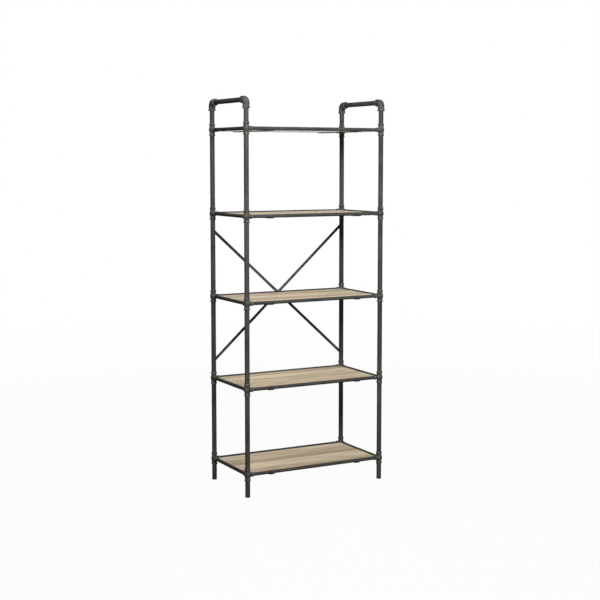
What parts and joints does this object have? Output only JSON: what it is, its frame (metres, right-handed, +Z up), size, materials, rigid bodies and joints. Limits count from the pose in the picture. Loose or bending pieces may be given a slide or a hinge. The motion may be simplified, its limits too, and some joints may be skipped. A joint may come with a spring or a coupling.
{
  "type": "etagere",
  "caption": "Open shelving unit of round steel posts and cast pipe fittings, with wood boards set inside rail frames, side handles and a rear cross brace.",
  "frame": {"origin": "on the floor, at the centre of the footprint", "axes": "+X to the viewer's right along the width, +Y to the rear along the depth, +Z up"},
  "size_m": [0.65, 0.35, 1.6],
  "materials": {
    "steel_tube": "satin gunmetal powder coat",
    "cast_fitting": "satin gunmetal powder coat over a slightly rough casting",
    "shelf_board": "matt greyed oak with lengthwise grain",
    "glide": "moulded black",
    "black_bolt": "black oxide",
    "zinc_fastener": "zinc plated"
  },
  "bodies": {
    "root": {"board_screws": "zinc_fastener", "board_straps": "steel_tube", "brace_bar_falling": "steel_tube", "brace_bar_rising": "steel_tube", "brace_centre_bolt": "black_bolt", "brace_end_bolts": "black_bolt", "brace_rivet_nuts": "zinc_fastener", "corner_fittings_1": "cast_fitting", "corner_fittings_2": "cast_fitting", "corner_fittings_3": "cast_fitting", "corner_fittings_4": "cast_fitting", "corner_fittings_5": "cast_fitting", "foot_glides": "glide", "handle_elbow_front_left": "cast_fitting", "handle_elbow_front_right": "cast_fitting", "handle_elbow_rear_left": "cast_fitting", "handle_elbow_rear_right": "cast_fitting", "handle_pipe_left": "steel_tube", "handle_pipe_right": "steel_tube", "joining_studs": "zinc_fastener", "leg_front_left": "steel_tube", "leg_front_right": "steel_tube", "leg_rear_left": "steel_tube", "leg_rear_right": "steel_tube", "long_rails_1": "steel_tube", "long_rails_2": "steel_tube", "long_rails_3": "steel_tube", "long_rails_4": "steel_tube", "long_rails_5": "steel_tube", "post_1_front_left": "steel_tube", "post_1_front_right": "steel_tube", "post_1_rear_left": "steel_tube", "post_1_rear_right": "steel_tube", "post_2_front_left": "steel_tube", "post_2_front_right": "steel_tube", "post_2_rear_left": "steel_tube", "post_2_rear_right": "steel_tube", "post_3_front_left": "steel_tube", "post_3_front_right": "steel_tube", "post_3_rear_left": "steel_tube", "post_3_rear_right": "steel_tube", "post_4_front_left": "steel_tube", "post_4_front_right": "steel_tube", "post_4_rear_left": "steel_tube", "post_4_rear_right": "steel_tube", "riser_front_left": "steel_tube", "riser_front_right": "steel_tube", "riser_rear_left": "steel_tube", "riser_rear_right": "steel_tube", "shelf_board_1": "shelf_board", "shelf_board_2": "shelf_board", "shelf_board_3": "shelf_board", "shelf_board_4": "shelf_board", "shelf_board_5": "shelf_board", "side_rails_1": "steel_tube", "side_rails_2": "steel_tube", "side_rails_3": "steel_tube", "side_rails_4": "steel_tube", "side_rails_5": "steel_tube"}
  },
  "joints": []
}
